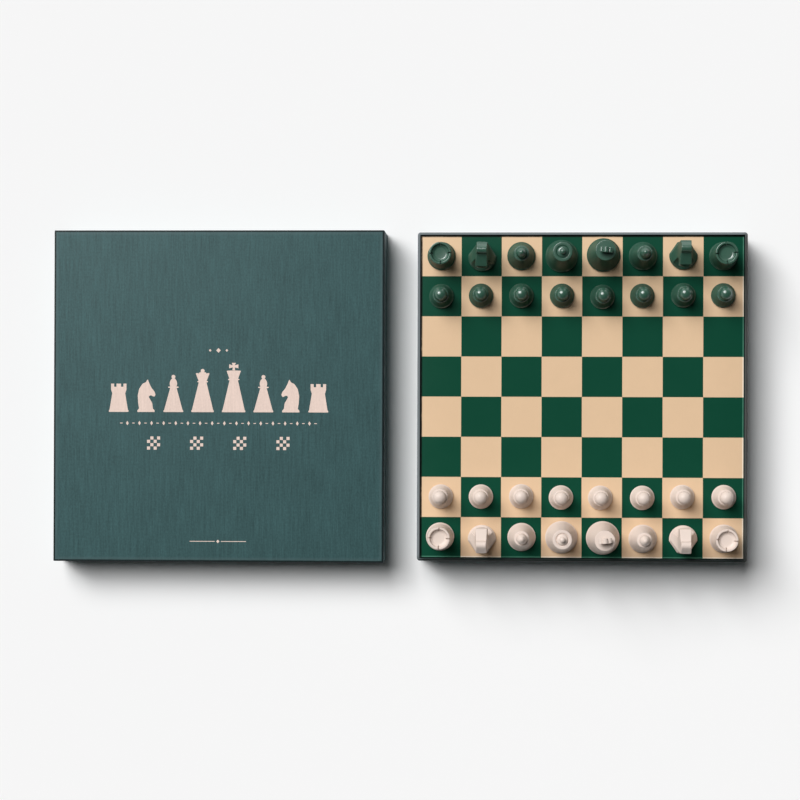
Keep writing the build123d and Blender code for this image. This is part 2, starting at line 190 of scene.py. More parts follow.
class MenLooks(bpy.types.PropertyGroup):
    """Sizes of the men, each measured from its own foot."""

    steps: count("Steps", "Faces round a turned man", 96)
    foot_chamfer: length("Foot chamfer", "Chamfer under the foot", 0.5)
    foot_edge: length("Foot edge", "Height of the foot's upright edge", 2)
    foot_shoulder: length("Foot shoulder", "Size of the bevel above that edge", 0.9)
    bead: length("Bead", "Thickness of the collar", 1.8)
    pawn_height: length("Pawn height", "Foot to top", 34)
    pawn_base: length("Pawn base", "Radius of the foot", 11.5)
    pawn_taper: length("Pawn taper", "Radius under the collar", 4.9)
    pawn_collar_height: length("Pawn collar height", "Height of the collar's underside", 18.4)
    pawn_collar: length("Pawn collar", "Radius of the collar", 7.6)
    pawn_neck: length("Pawn neck", "Radius of the neck", 4.2)
    pawn_ball: length("Pawn ball", "Radius of the ball", 6.2)
    officer_base: length("Officer base", "Radius of the foot of a rook, bishop and knight", 13.3)
    rook_height: length("Rook height", "Foot to top", 38)
    rook_waist: length("Rook waist", "Radius of the waist", 8.8)
    rook_waist_height: length("Rook waist height", "Height of the waist", 25)
    rook_rim: length("Rook rim", "Radius of the rim", 10.4)
    rook_rim_length: length("Rook rim length", "Height of the rim", 8)
    rook_well: length("Rook well", "Radius of the well's mouth", 8.5)
    rook_well_depth: length("Rook well depth", "Depth of the well", 3.6)
    rook_slit: length("Rook slit", "Width of the four slits", 1.2)
    rook_slit_depth: length("Rook slit depth", "Depth of the four slits", 4.2)
    bishop_height: length("Bishop height", "Foot to top", 50)
    bishop_taper: length("Bishop taper", "Radius under the collar", 4.3)
    bishop_collar_height: length("Bishop collar height", "Height of the collar's underside", 32.5)
    bishop_collar: length("Bishop collar", "Radius of the collar", 7.3)
    bishop_head_foot: length("Bishop head foot", "Radius of the head above the collar", 4.1)
    bishop_head: length("Bishop head", "Largest radius of the head", 5.0)
    bishop_swell: length("Bishop swell", "Height of the head's widest place above the collar", 3.6)
    bishop_ball: length("Bishop ball", "Radius of the top ball", 2.6)
    bishop_ball_neck: length("Bishop ball neck", "Radius under the top ball", 1.5)
    queen_height: length("Queen height", "Foot to top", 58)
    queen_base: length("Queen base", "Radius of the foot", 15.2)
    queen_taper: length("Queen taper", "Radius under the collar", 5.2)
    queen_collar_height: length("Queen collar height", "Height of the collar's underside", 40)
    queen_collar: length("Queen collar", "Radius of the collar", 7.4)
    queen_crown_foot: length("Queen crown foot", "Radius of the crown above the collar", 5.4)
    queen_crown: length("Queen crown", "Largest radius of the crown", 9.15)
    queen_crown_length: length("Queen crown length", "Height of the crown", 10.6)
    queen_rim: length("Queen rim", "Width of the crown's rim", 2.8)
    queen_dish: length("Queen dish", "Depth of the groove inside the rim", 0.9)
    queen_dome: length("Queen dome", "Radius of the dome in the groove", 5.4)
    queen_shoulder: length("Queen shoulder", "Radius of the dome at its shoulder", 4)
    queen_ball: length("Queen ball", "Radius of the top ball", 2.65)
    queen_ball_neck: length("Queen ball neck", "Radius under the top ball", 1.7)
    king_base: length("King base", "Radius of the foot", 15.8)
    king_taper: length("King taper", "Radius under the collar", 5.6)
    king_collar_height: length("King collar height", "Height of the collar's underside", 43)
    king_collar: length("King collar", "Radius of the collar", 7.9)
    king_crown_foot: length("King crown foot", "Radius of the crown above the collar", 5.8)
    king_crown: length("King crown", "Largest radius of the crown", 9.35)
    king_crown_length: length("King crown length", "Height of the crown", 10.95)
    king_crown_rise: length("King crown rise", "Rise of the crown's top to the seat", 0.25)
    king_seat: length("King seat", "Radius of the seat under the cross", 3.2)
    king_hole: length("King hole", "Radius of the hole for the peg", 1.29)
    king_hole_depth: length("King hole depth", "Depth of the hole for the peg", 4.04)
    knight_bridge: length("Knight bridge", "Reach of the bridge of the nose", 0.3)
    knight_bridge_drop: length("Knight bridge drop", "Depth of the bridge below the top", 5.6)
    knight_nose: length("Knight nose", "Reach of the nose", 10.8)
    knight_nose_drop: length("Knight nose drop", "Depth of the carved nose below the top", 18.4)
    knight_nose_lift: length("Knight nose lift", "How far the nose is lifted from there", 7.5)
    knight_jaw_drop: length("Knight jaw drop", "Depth of the jaw below the top", 23.8)
    knight_chamfer: length("Knight chamfer", "Chamfer along the knight's edges", 0.7)
    cross_chamfer: length("Cross chamfer", "Chamfer along the cross's edges", 0.5)
    carving_grain: length("Carving grain", "Finest detail of the carved knights", 0.3)
    cross_grain: length("Cross grain", "Finest detail of the crosses", 0.2)
    white: colour("White lacquer", "Colour of the white men", 0.735, 0.62, 0.55)
    green: colour("Green lacquer", "Colour of the green men", 0.034, 0.098, 0.066)


class StageLooks(bpy.types.PropertyGroup):
    """Floor, light and camera."""

    floor: length("Floor", "Side of the floor", 14000)
    floor_tone: share("Floor tone", "Tone of the floor and the background", 0.923)
    fill: share("Fill light", "Share of the light that comes from all round", 0.04)
    softbox: share("Softbox", "Share of the light from the large lamp", 0.84)
    glint: share("Glint light", "Share of the light from the small lamp", 0.12)
    softbox_angle: angle("Softbox width", "Width of the large lamp as the set sees it", 44)
    glint_angle: angle("Glint width", "Width of the small lamp as the set sees it", 18)
    softbox_from: vector("Softbox from", "Way to the large lamp", "DIRECTION", -0.478, 0.55, 1)
    glint_from: vector("Glint from", "Way to the small lamp", "DIRECTION", -0.8, 0.7, 1)
    camera: vector("Camera place", "Where the camera hangs", "TRANSLATION", -0.0604, -0.0333, 2.1156)
    tip: angle("Camera tip", "How far the camera tips towards the green side", 0.209)
    lean: angle("Camera lean", "How far the camera leans towards the lid", 2.452)
    turn: angle("Camera turn", "How far the camera turns about its own axis", 0.194)
    lens: bpy.props.FloatProperty(
        name="Lens", description="Focal length", default=98.496, subtype="DISTANCE_CAMERA"
    )
    shift: bpy.props.FloatVectorProperty(
        name="Lens shift", description="Shift of the picture", default=(-0.03, 0.03), size=2
    )


# Modelling by operators


def clear_selection():
    """Leaves edit mode and deselects everything."""
    if bpy.context.object is not None and bpy.context.object.mode != "OBJECT":
        bpy.ops.object.mode_set(mode="OBJECT")
    bpy.ops.object.select_all(action="DESELECT")


def add(name, data):
    """Adds a new object, with its data named like it."""
    thing = bpy.data.objects.new(name, data)
    data.name = name
    bpy.context.scene.collection.objects.link(thing)
    return thing


def take(piece):
    """Makes a piece the only selected one, and the active one."""
    clear_selection()
    piece.select_set(True)
    bpy.context.view_layer.objects.active = piece


def pick(piece, kind, test):
    """Enters edit mode with only the VERT, EDGE or FACE items selected that pass the test."""
    take(piece)
    bpy.ops.object.mode_set(mode="EDIT")
    bpy.ops.mesh.select_mode(type=kind)
    bpy.ops.mesh.select_all(action="DESELECT")
    mesh = bmesh.from_edit_mesh(piece.data)
    for item in {"VERT": mesh.verts, "EDGE": mesh.edges, "FACE": mesh.faces}[kind]:
        item.select_set(bool(test(item)))
    mesh.select_flush_mode()
    bmesh.update_edit_mesh(piece.data)


def bevel(piece, size, segments, test):
    """Bevels the edges that pass the test."""
    pick(piece, "EDGE", test)
    bpy.ops.mesh.bevel(offset=size, segments=segments, affect="EDGES")


def draw_faces(distance):
    """Extrudes the selected faces upwards, or downwards where the distance is negative."""
    bpy.ops.mesh.extrude_region_move(TRANSFORM_OT_translate={"value": (0, 0, distance)})


def apply_modifier(piece, kind, **settings):
    """Adds a modifier and applies it."""
    take(piece)
    modifier = piece.modifiers.new(kind.title(), kind)
    for key, value in settings.items():
        setattr(modifier, key, value)
    bpy.ops.object.modifier_apply(modifier=modifier.name)


def box_piece(name, low, high):
    """A box between two corners, to be shaped further."""
    clear_selection()
    low, high = Vector(low), Vector(high)
    bpy.ops.mesh.primitive_cube_add(size=1, location=(low + high) / 2, scale=high - low)
    piece = bpy.context.object
    piece.name = piece.data.name = name
    bpy.ops.object.transform_apply(location=True, rotation=True, scale=True)
    return piece


def tidy_mesh(piece, smooth=35):
    """Merges doubles, turns the faces outwards, and shades smooth all but edges sharper than the angle."""
    pick(piece, "VERT", lambda vert: True)
    bpy.ops.mesh.remove_doubles(threshold=1e-6)
    bpy.ops.mesh.normals_make_consistent(inside=False)
    take(piece)
    bpy.ops.object.shade_smooth_by_angle(angle=radians(smooth))


def near(one, other):
    """Whether two lengths are the same to a hundredth of a millimetre."""
    return abs(one - other) < 0.01 * MM


def lay_uv(piece):
    """Gives a folded sheet a flat map in metres: the threads run along Y on top and on down the walls."""
    mesh = bmesh.new()
    mesh.from_mesh(piece.data)
    flat = mesh.loops.layers.uv.verify()
    for face in mesh.faces:
        across, up = abs(face.normal.x), abs(face.normal.z)
        for corner in face.loops:
            x, y, z = corner.vert.co
            if up > 0.7:
                corner[flat].uv = x, y
            elif across > abs(face.normal.y):
                corner[flat].uv = x + z, y
            else:
                corner[flat].uv = x, y + z
    mesh.to_mesh(piece.data)
    mesh.free()


def dress(piece, material, slot, body, *nodes):
    """Gives a finished piece its material and its body, and lets it stand for CAD nodes. The slot is not
    used.
    """
    piece.data.materials.clear()
    piece.data.materials.append(material)
    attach(piece, body)
    if nodes:
        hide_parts(*nodes)


def dress_node(name, material):
    """Gives a CAD node a better material in its own slots."""
    for slot in frame["nodes"][name].material_slots:
        slot.material = material


# Shader nodes


class Net:
    """Adds nodes to one tree and joins them."""

    def __init__(self, tree):
        self.tree = tree

    def node(self, kind, inputs=None, **settings):
        made = self.tree.nodes.new("ShaderNode" + kind)
        for key, value in settings.items():
            setattr(made, key, value)
        for key, value in (inputs or {}).items():
            self.give(made.inputs[key], value)
        return made

    def give(self, socket, value):
        """Joins a socket to another, or sets it."""
        if isinstance(value, bpy.types.NodeSocket):
            self.tree.links.new(value, socket)
        elif socket.type == "RGBA" and len(value) == 3:
            socket.default_value = (*value, 1)
        else:
            socket.default_value = value

    def group(self, name, **inputs):
        """Places a shared node group."""
        return self.node("Group", inputs, node_tree=shared_group(name)).outputs

    def split(self, vector):
        """The three numbers of a vector."""
        return self.node("SeparateXYZ", {0: vector}).outputs

    def sum(self, operation, one, other=0.0, third=0.0):
        return self.node("Math", {0: one, 1: other, 2: third}, operation=operation).outputs[0]

    def times(self, one, other, plus=0.0):
        return self.sum("MULTIPLY_ADD", one, other, plus)

    def minus(self, one, other):
        return self.sum("SUBTRACT", one, other)

    def larger(self, one, other):
        return self.sum("MAXIMUM", one, other)

    def stretch(self, vector, scale):
        return self.node("Mapping", {"Vector": vector, "Scale": scale}).outputs[0]

    def noise(self, vector, scale=1.0, detail=2.0, roughness=0.5):
        settings = {"Vector": vector, "Scale": scale, "Detail": detail, "Roughness": roughness}
        return self.node("TexNoise", settings).outputs[0]

    def span(self, value, low, high, to_low=0.0, to_high=1.0):
        """Goes smoothly from one number to another while the value goes from low to high."""
        settings = {"Value": value, "From Min": low, "From Max": high, "To Min": to_low, "To Max": to_high}
        return self.node("MapRange", settings, interpolation_type="SMOOTHSTEP").outputs[0]

    def blend(self, part, one, other):
        """A colour that goes from one to the other as the part goes from 0 to 1."""
        return self.node("Mix", {0: part, 6: one, 7: other}, data_type="RGBA").outputs[2]

    def mottled(self, colour, contrast, *noises):
        """A colour made lighter and darker by noises, each with its weight."""
        tone = 0.0
        for noise, weight in noises:
            tone = self.times(self.minus(noise, 0.5), weight, tone)
        tone = self.times(tone, contrast, 1.0)
        return self.node("VectorMath", {0: colour, "Scale": tone}, operation="SCALE").outputs[0]

    def bump(self, height, distance, strength):
        return self.node("Bump", {"Height": height, "Distance": distance, "Strength": strength}).outputs[0]


def linen_weave(net, given):
    """Embossed linen: long threads along the sheet, faint ones across, a fine grain and a slow drift."""
    scales = ((1250, 60, 1), (470, 30, 2), (60, 1100, 1), (700, 420, 1), (40, 22, 3))
    warp, slub, weft, grain, drift = (
        net.noise(net.stretch(given["Vector"], (across, along, 1)), detail=detail)
        for across, along, detail in scales
    )
    threads = ((slub, 1.5), (warp, 1.3), (weft, 0.4), (grain, 1.4), (drift, 0.8))
    height = net.times(slub, 0.4, net.times(weft, 0.5, warp))
    return {
        "Colour": net.mottled(given["Colour"], given["Contrast"], *threads),
        "Height": net.times(grain, 0.6, height),
        "Thread": warp,
    }


def fold_zone(net, given):
    """How near a place is to the folds round the top of a square box, and by which of its sides."""
    places = {0: given["Vector"], 1: given["Middle"]}
    x, y, z = net.split(net.node("VectorMath", places, operation="SUBTRACT").outputs[0])
    inside = net.minus(given["Half"], net.larger(net.sum("ABSOLUTE", x), net.sum("ABSOLUTE", y)))
    away = net.larger(inside, net.minus(given["Top"], z))
    wander = net.noise(given["Vector"], 160, 3, 0.6)
    reach = net.times(given["Reach"], net.times(wander, 0.3, 0.85))
    fold = net.span(away, net.times(reach, 1.15), net.times(reach, 0.85))
    # beside marks the band just inside the folds where the crest's painted highlight goes.
    beside = net.span(away, net.times(reach, 3.2), reach)
    # Upper_Left and Lower_Left pick a fold's side, so that the lamp-facing upper left gets a painted
    # highlight and the other sides get painted shade.
    corner = 6 * MM
    return {
        "Fold": fold,
        "Upper_Left": net.span(net.minus(y, x), -corner, corner),
        "Lower_Left": net.span(net.sum("ADD", x, y), corner, -corner),
        "Crest_Highlight": net.times(beside, net.minus(1.0, fold)),
    }


def paper_fibre(net, given):
    """Short fibres and a soft mottle, for raw board, card and printed paper."""
    place = given["Vector"]
    fine = net.noise(place, 1400, 3, 0.6)
    long = net.noise(net.stretch(place, (900, 160, 500)), 1, 3, 0.6)
    cloud = net.noise(place, 55, 3, 0.55)
    return {
        "Colour": net.mottled(given["Colour"], given["Contrast"], (cloud, 1.1), (fine, 0.7), (long, 0.7)),
        "Height": net.sum("ADD", fine, long),
        "Cloud": cloud,
    }


def border_light_and_shade(net, given):
    """Lines along a square sheet's borders: a painted highlight at the right and below, and painted shade
    at the left and above.
    """
    x, y = net.split(given["Vector"])[:2]
    wide, thin = (net.times(given["Width"], part) for part in (1.3, 0.7))
    broken = net.span(net.noise(given["Vector"], 240, 4, 0.65), 0.25, 0.6, 0.75, 1.0)
    lines = {}
    for name, way in (("Highlight", 1.0), ("Shaded", -1.0)):
        out = net.larger(net.times(x, way), net.times(y, -way))
        lines[name] = net.times(net.span(net.minus(given["Half"], out), wide, thin), broken)
    return lines


def lacquer_film(net, given):
    """A lacquer coat: slow clouding, orange peel, faint lathe rings, and a polish where it faces up."""
    place = given["Vector"]
    peel = net.noise(place, 520, 2, 0.5)
    rings = net.noise(net.stretch(place, (60, 60, 1600)), 1, 2, 0.5)
    cloud = net.noise(place, 130, 3, 0.6)
    up = net.split(given["Normal"])[2]
    return {
        "Colour": net.mottled(given["Colour"], given["Contrast"], (cloud, 1.0)),
        "Height": net.times(rings, 0.35, peel),
        "Cloud": cloud,
        "Polish": net.span(up, 0.4, 0.62, net.times(given["Polish"], 0.06), given["Polish"]),
    }


# The shared node groups: what builds each, and its inputs and outputs with their defaults.
PLACE = (0.0, 0.0, 0.0)
GREY = (0.5, 0.5, 0.5, 1.0)
SOCKETS = {PLACE: "NodeSocketVector", GREY: "NodeSocketColor"}
SURFACE = {"Vector": PLACE, "Colour": GREY, "Contrast": 0.2}
GROUPS = {
    "Linen weave": (linen_weave, SURFACE, {"Colour": GREY, "Height": 0.0, "Thread": 0.0}),
    "Fold zone": (
        fold_zone,
        {"Vector": PLACE, "Middle": PLACE, "Half": 0.1, "Top": 0.1, "Reach": 0.001},
        {"Fold": 0.0, "Upper_Left": 0.0, "Lower_Left": 0.0, "Crest_Highlight": 0.0},
    ),
    "Paper fibre": (paper_fibre, SURFACE, {"Colour": GREY, "Height": 0.0, "Cloud": 0.0}),
    "Border light and shade": (
        border_light_and_shade,
        {"Vector": PLACE, "Half": 0.1, "Width": 0.001},
        {"Highlight": 0.0, "Shaded": 0.0},
    ),
    "Lacquer film": (
        lacquer_film,
        {**SURFACE, "Normal": PLACE, "Polish": 0.5},
        {"Colour": GREY, "Height": 0.0, "Cloud": 0.0, "Polish": 0.0},
    ),
}


def shared_group(name):
    """A shared node group, built when it is first used."""
    if name in bpy.data.node_groups:
        return bpy.data.node_groups[name]
    build, inputs, outputs = GROUPS[name]
    tree = bpy.data.node_groups.new(name, "ShaderNodeTree")
    for sockets, side in ((inputs, "INPUT"), (outputs, "OUTPUT")):
        for socket, default in sockets.items():
            kind = SOCKETS.get(default, "NodeSocketFloat")
            made = tree.interface.new_socket(name=socket, in_out=side, socket_type=kind)
            made.default_value = default
    net = Net(tree)
    inside = tree.nodes.new("NodeGroupInput")
    outside = tree.nodes.new("NodeGroupOutput")
    for socket, value in build(net, inside.outputs).items():
        net.give(outside.inputs[socket], value)
    return tree


# Materials


class Finish(Net):
    """The net of a new material, with the places on its surface."""

    def __init__(self, name):
        self.material = bpy.data.materials.new(name)
        self.material.use_nodes = True
        self.material.node_tree.nodes.clear()
        super().__init__(self.material.node_tree)
        self.places = self.node("TexCoord").outputs
        self.place = self.places["Object"]

    def close(self, **sockets):
        """Adds the shader and the output. Socket names with spaces are written with underscores."""
        inputs = {key.replace("_", " "): value for key, value in sockets.items()}
        shader = self.node("BsdfPrincipled", inputs)
        self.tree.links.new(shader.outputs[0], self.node("OutputMaterial").inputs[0])
        return self.material


def linen_paper(name, node, reach, tones, strength, crest_highlight):
    """Dark teal paper embossed as linen. Its top folds get painted light and shade in three tones, by side:
    upper left, right and lower, and a painted highlight can be added just inside them.
    """
    looks = bpy.context.scene.chess_box
    net = Finish(name)
    weave = net.group(
        "Linen weave", Vector=net.places["UV"], Colour=looks.linen, Contrast=looks.linen_contrast
    )
    low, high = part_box(node)
    middle = (low + high) / 2
    zone = net.group(
        "Fold zone",
        Vector=net.place,
        Middle=(middle.x, middle.y, 0),
        Half=high.x - middle.x,
        Top=high.z,
        Reach=reach,
    )
    # A painted highlight just inside the folds, then the painted light and shade on the folds.
    with_crest_highlight = net.blend(net.times(zone["Crest_Highlight"], crest_highlight), weave["Colour"], looks.crest_highlight)
    # The fold tones are painted light and shade, chosen by the side of the box that a fold lies on.
    upper_left, right, lower = tones
    fold = net.blend(zone["Upper_Left"], net.blend(zone["Lower_Left"], right, lower), upper_left)
    return net.close(
        Base_Color=net.blend(net.times(zone["Fold"], strength), with_crest_highlight, fold),
        Roughness=net.times(weave["Thread"], 0.12, 0.5),
        Normal=net.bump(weave["Height"], distance=0.09 * MM, strength=0.6),
        Specular_IOR_Level=0.2,
    )


def card_material(name, tone, contrast, roughness):
    """Raw board, card or plain paper, by its colour."""
    if name in bpy.data.materials:
        return bpy.data.materials[name]
    net = Finish(name)
    fibre = net.group("Paper fibre", Vector=net.place, Colour=tone, Contrast=contrast)
    return net.close(
        Base_Color=fibre["Colour"],
        Roughness=net.times(fibre["Cloud"], 0.12, roughness),
        Normal=net.bump(fibre["Height"], distance=0.06 * MM, strength=0.5),
        Specular_IOR_Level=0.3,
    )


def raw_greyboard():
    """The bare board under all the paper."""
    return card_material("raw_greyboard", bpy.context.scene.chess_box.greyboard, 0.35, 0.8)


def smooth_lining_paper():
    """The smooth dark paper inside the box and under the board."""
    return card_material("smooth_lining_paper", bpy.context.scene.chess_box.lining, 0.25, 0.65)


def print_material(name, tone, highlight_tone):
    """Printed and varnished paper. A highlight is painted along the board's right and lower edges, and
    shade along its left and upper edges.
    """
    looks = bpy.context.scene.chess_board
    net = Finish(name)
    fibre = net.group("Paper fibre", Vector=net.place, Colour=tone, Contrast=0.05)
    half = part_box("board_face")[1].x
    border = net.group("Border light and shade", Vector=net.place, Half=half, Width=looks.border)
    # A painted highlight along the right and lower edges, and painted shade along the left and upper ones.
    painted_highlight = net.blend(border["Highlight"], fibre["Colour"], highlight_tone)
    return net.close(
        Base_Color=net.blend(net.times(border["Shaded"], 0.9), painted_highlight, looks.painted_shade),
        Roughness=net.times(fibre["Cloud"], 0.08, 0.2),
        Normal=net.bump(fibre["Height"], distance=0.02 * MM, strength=0.3),
        Specular_IOR_Level=0.08,
    )


def lacquer(name, tone, contrast, shine, polish):
    """Lacquered wood, by its colour: satin on the steep bodies, polished by hands where it faces up."""
    if name in bpy.data.materials:
        return bpy.data.materials[name]
    net = Finish(name)
    film = net.group(
        "Lacquer film",
        Vector=net.place,
        Normal=net.places["Normal"],
        Colour=tone,
        Contrast=contrast,
        Polish=polish,
    )
    return net.close(
        Base_Color=film["Colour"],
        Roughness=net.times(film["Cloud"], 0.06, 0.4),
        Specular_IOR_Level=shine,
        Coat_Weight=film["Polish"],
        Coat_Roughness=0.22,
        Coat_IOR=1.75,
        Normal=net.bump(film["Height"], distance=0.015 * MM, strength=0.4),
    )


def ornament_ink():
    """Pinkish cream ink stamped into the linen: the threads show through it."""
    net = Finish("ornament_ink")
    ink = bpy.context.scene.chess_lid_ornament.ink
    weave = net.group("Linen weave", Vector=net.place, Colour=ink, Contrast=0.12)
    return net.close(
        Base_Color=weave["Colour"],
        Roughness=net.times(weave["Thread"], 0.15, 0.5),
        Normal=net.bump(weave["Height"], distance=0.06 * MM, strength=0.5),
    )


# Stage


class CHESS_OT_stage(bpy.types.Operator):
    """Makes the pale floor, the soft light from the upper left and the camera overhead"""

    bl_idname = "chess_set.stage"
    bl_label = "Floor, light and camera"

    def execute(self, context):
        looks = context.scene.chess_stage
        clear_selection()
        bpy.ops.mesh.primitive_plane_add(size=looks.floor, location=(0, 0, -0.05 * MM))
        floor = context.object
        floor.name = floor.data.name = "studio_floor"
        bpy.ops.object.transform_apply(location=True, rotation=True, scale=True)
        tone = (looks.floor_tone,) * 3
        plain = Finish("studio_floor").close(Base_Color=tone, Roughness=1.0, Specular_IOR_Level=0.0)
        floor.data.materials.append(plain)

        world = bpy.data.worlds.new("studio")
        context.scene.world = world
        world.use_nodes = True
        world.node_tree.nodes.clear()
        net = Net(world.node_tree)
        path = net.node("LightPath").outputs
        x, y, z = net.split(net.node("TexCoord").outputs["Generated"])
        # Gloss shows a studio that is dim overhead and to the lower right.
        low = net.span(z, 0.75, 0.1, 0.06, 1.0)
        side = net.span(net.minus(y, x), -0.9, 0.9, 0.15, 1.0)
        mirrored = net.times(net.times(low, side), looks.floor_tone)
        seen = net.node("Background", {"Color": tone})
        shown = net.node("Background", {"Color": (1, 1, 1), "Strength": mirrored})
        fill = net.node("Background", {"Color": (1, 1, 1), "Strength": looks.fill})
        reflected = net.larger(path["Is Glossy Ray"], path["Is Transmission Ray"])
        mirror = net.node("MixShader", {0: reflected, 1: fill.outputs[0], 2: shown.outputs[0]})
        either = net.node("MixShader", {0: path["Is Camera Ray"], 1: mirror.outputs[0], 2: seen.outputs[0]})
        net.tree.links.new(either.outputs[0], net.node("OutputWorld").inputs[0])

        for name, part, width, way in (
            ("softbox", looks.softbox, looks.softbox_angle, looks.softbox_from),
            ("glint_lamp", looks.glint, looks.glint_angle, looks.glint_from),
        ):
            towards = Vector(way).normalized()
            lamp = bpy.data.lights.new(name, "SUN")
            lamp.energy = part * pi / towards.z
            lamp.angle = width
            hung = add(name, lamp)
            hung.location = towards * 3
            hung.rotation_euler = towards.to_track_quat("Z", "Y").to_euler()

        camera = bpy.data.cameras.new("camera")
        camera.lens = looks.lens
        camera.shift_x, camera.shift_y = looks.shift
        hung = add("camera", camera)
        hung.location = looks.camera
        hung.rotation_euler = (looks.tip, looks.lean, looks.turn)
        context.scene.camera = hung
        context.scene.view_settings.view_transform = "Standard"
        return {"FINISHED"}


# Box


def is_upright(edge):
    """Whether an edge runs straight up."""
    one, other = (vert.co for vert in edge.verts)
    return near(one.x, other.x) and near(one.y, other.y) and not near(one.z, other.z)


def round_rim(piece, middle, rim_z, between, rounding, segments):
    """Rounds the rim's edges that lie between two distances from the middle."""

    def in_band(vert):
        away = max(abs(vert.co.x - middle.x), abs(vert.co.y - middle.y))
        return near(vert.co.z, rim_z) and between[0] < away < between[1]

    def on_rim(edge):
        meets_wall = any(abs(face.normal.z) < 0.5 for face in edge.link_faces)
        return meets_wall and all(in_band(vert) for vert in edge.verts)

    bevel(piece, rounding, segments, on_rim)


def papered_walls(name, ends, wall, corner, rim, lip, open_at_top):
    """Paper over a tray or a lid: outside, round the rim and turned in. It gets its thickness inwards.

    A tray's paper is open below, and a lid's goes over its top."""
    looks = bpy.context.scene.chess_box
    low, high = ends
    piece = box_piece(name, low, high)
    rim_z, end_z = (high.z, low.z) if open_at_top else (low.z, high.z)
    inwards = -1 if open_at_top else 1
    middle = (low + high) / 2
    half = (high.x - low.x) / 2

    def is_corner(vert):
        return near(abs(vert.co.x - middle.x), half) and near(abs(vert.co.y - middle.y), half)

    def is_outer(edge):
        at_end = all(near(vert.co.z, end_z) for vert in edge.verts)
        return at_end or is_upright(edge) and all(is_corner(vert) for vert in edge.verts)

    if open_at_top:
        bevel(piece, corner, 8, is_upright)
    pick(piece, "FACE", lambda face: near(face.calc_center_median().z, rim_z))
    bpy.ops.mesh.inset(thickness=wall, depth=0)
    draw_faces(inwards * looks.turn_in)
    bpy.ops.mesh.delete(type="FACE")
    if open_at_top:
        pick(piece, "FACE", lambda face: near(face.calc_center_median().z, end_z))
        bpy.ops.mesh.delete(type="ONLY_FACE")
    else:
        bevel(piece, corner, 4, is_outer)
    mid_wall = half - wall / 2
    round_rim(piece, middle, rim_z, (mid_wall, half + wall), rim, 6)
    round_rim(piece, middle, rim_z, (0, mid_wall), lip, 3)
    apply_modifier(piece, "SOLIDIFY", thickness=looks.paper, offset=-1, use_even_offset=True)
    tidy_mesh(piece, 40)
    lay_uv(piece)
    return piece


class CHESS_OT_tray(bpy.types.Operator):
    """Papers the tray and finishes its board, lining, base sheet and insert"""

    bl_idname = "chess_set.tray"
    bl_label = "Tray and insert"

    def execute(self, context):
        looks = context.scene.chess_box
        low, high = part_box("tray_wrap")
        wall = high.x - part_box("tray_lining")[1].x + looks.paper
        wrap = papered_walls(
            "tray_linen_wrap",
            (low, high),
            wall,
            corner=looks.tray_corner,
            rim=looks.tray_rim,
            lip=looks.tray_lip,
            open_at_top=True,
        )
        # The rim's fold gets a painted highlight at the upper left and painted shade at the right and
        # below.
        linen = linen_paper(
            "rubbed_linen_paper",
            "tray_wrap",
            reach=looks.tray_fold,
            tones=(looks.painted_highlight, looks.right_fold_shade, looks.lower_fold_shade),
            strength=looks.painted_fold_share,
            crest_highlight=0,
        )
        dress(wrap, linen, "teal_paper", "tray", "tray_wrap")
        dress(self.shell(looks), raw_greyboard(), "greyboard", "tray", "tray_board")
        for name in ("tray_lining", "tray_base_sheet"):
            dress_node(name, smooth_lining_paper())
        for name in ("insert_collar", "insert_divider"):
            dress_node(name, card_material("dyed_insert_card", looks.insert, 0.25, 0.7))
        return {"FINISHED"}

    def shell(self, looks):
        """The greyboard tray: a block with rounded corners and outer rim, hollowed down to its floor."""
        low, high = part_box("tray_board")
        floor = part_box("tray_lining")[0].z
        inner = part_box("tray_lining")[1].x
        piece = box_piece("tray_greyboard", low, high)
        bevel(piece, looks.tray_corner - looks.paper, 8, is_upright)
        pick(piece, "FACE", lambda face: face.normal.z > 0.5)
        bpy.ops.mesh.inset(thickness=high.x - inner, depth=0)
        draw_faces(floor - high.z)
        outside = (high.x + inner) / 2, 2 * high.x
        round_rim(piece, Vector(), high.z, outside, looks.tray_rim - looks.paper, 6)
        tidy_mesh(piece, 40)
        return piece


class CHESS_OT_lid(bpy.types.Operator):
    """Papers the lid and finishes its board and lining"""

    bl_idname = "chess_set.lid"
    bl_label = "Lid"

    def execute(self, context):
        looks = context.scene.chess_box
        low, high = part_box("lid_wrap")
        wall = high.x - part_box("lid_lining")[1].x + looks.paper
        wrap = papered_walls(
            "lid_linen_wrap",
            (low, high),
            wall,
            corner=looks.lid_edge,
            rim=looks.lid_rim,
            lip=looks.lid_rim,
            open_at_top=False,
        )
        # The lid's folds get painted shade all round, with a painted highlight just inside them.
        linen = linen_paper(
            "folded_linen_paper",
            "lid_wrap",
            reach=looks.lid_fold,
            tones=(looks.folded,) * 3,
            strength=looks.painted_fold_share,
            crest_highlight=looks.crest_highlight_share,
        )
        dress(wrap, linen, "teal_paper", "lid", "lid_wrap")
        dress_node("lid_board", raw_greyboard())
        dress_node("lid_lining", smooth_lining_paper())
        return {"FINISHED"}


# Board


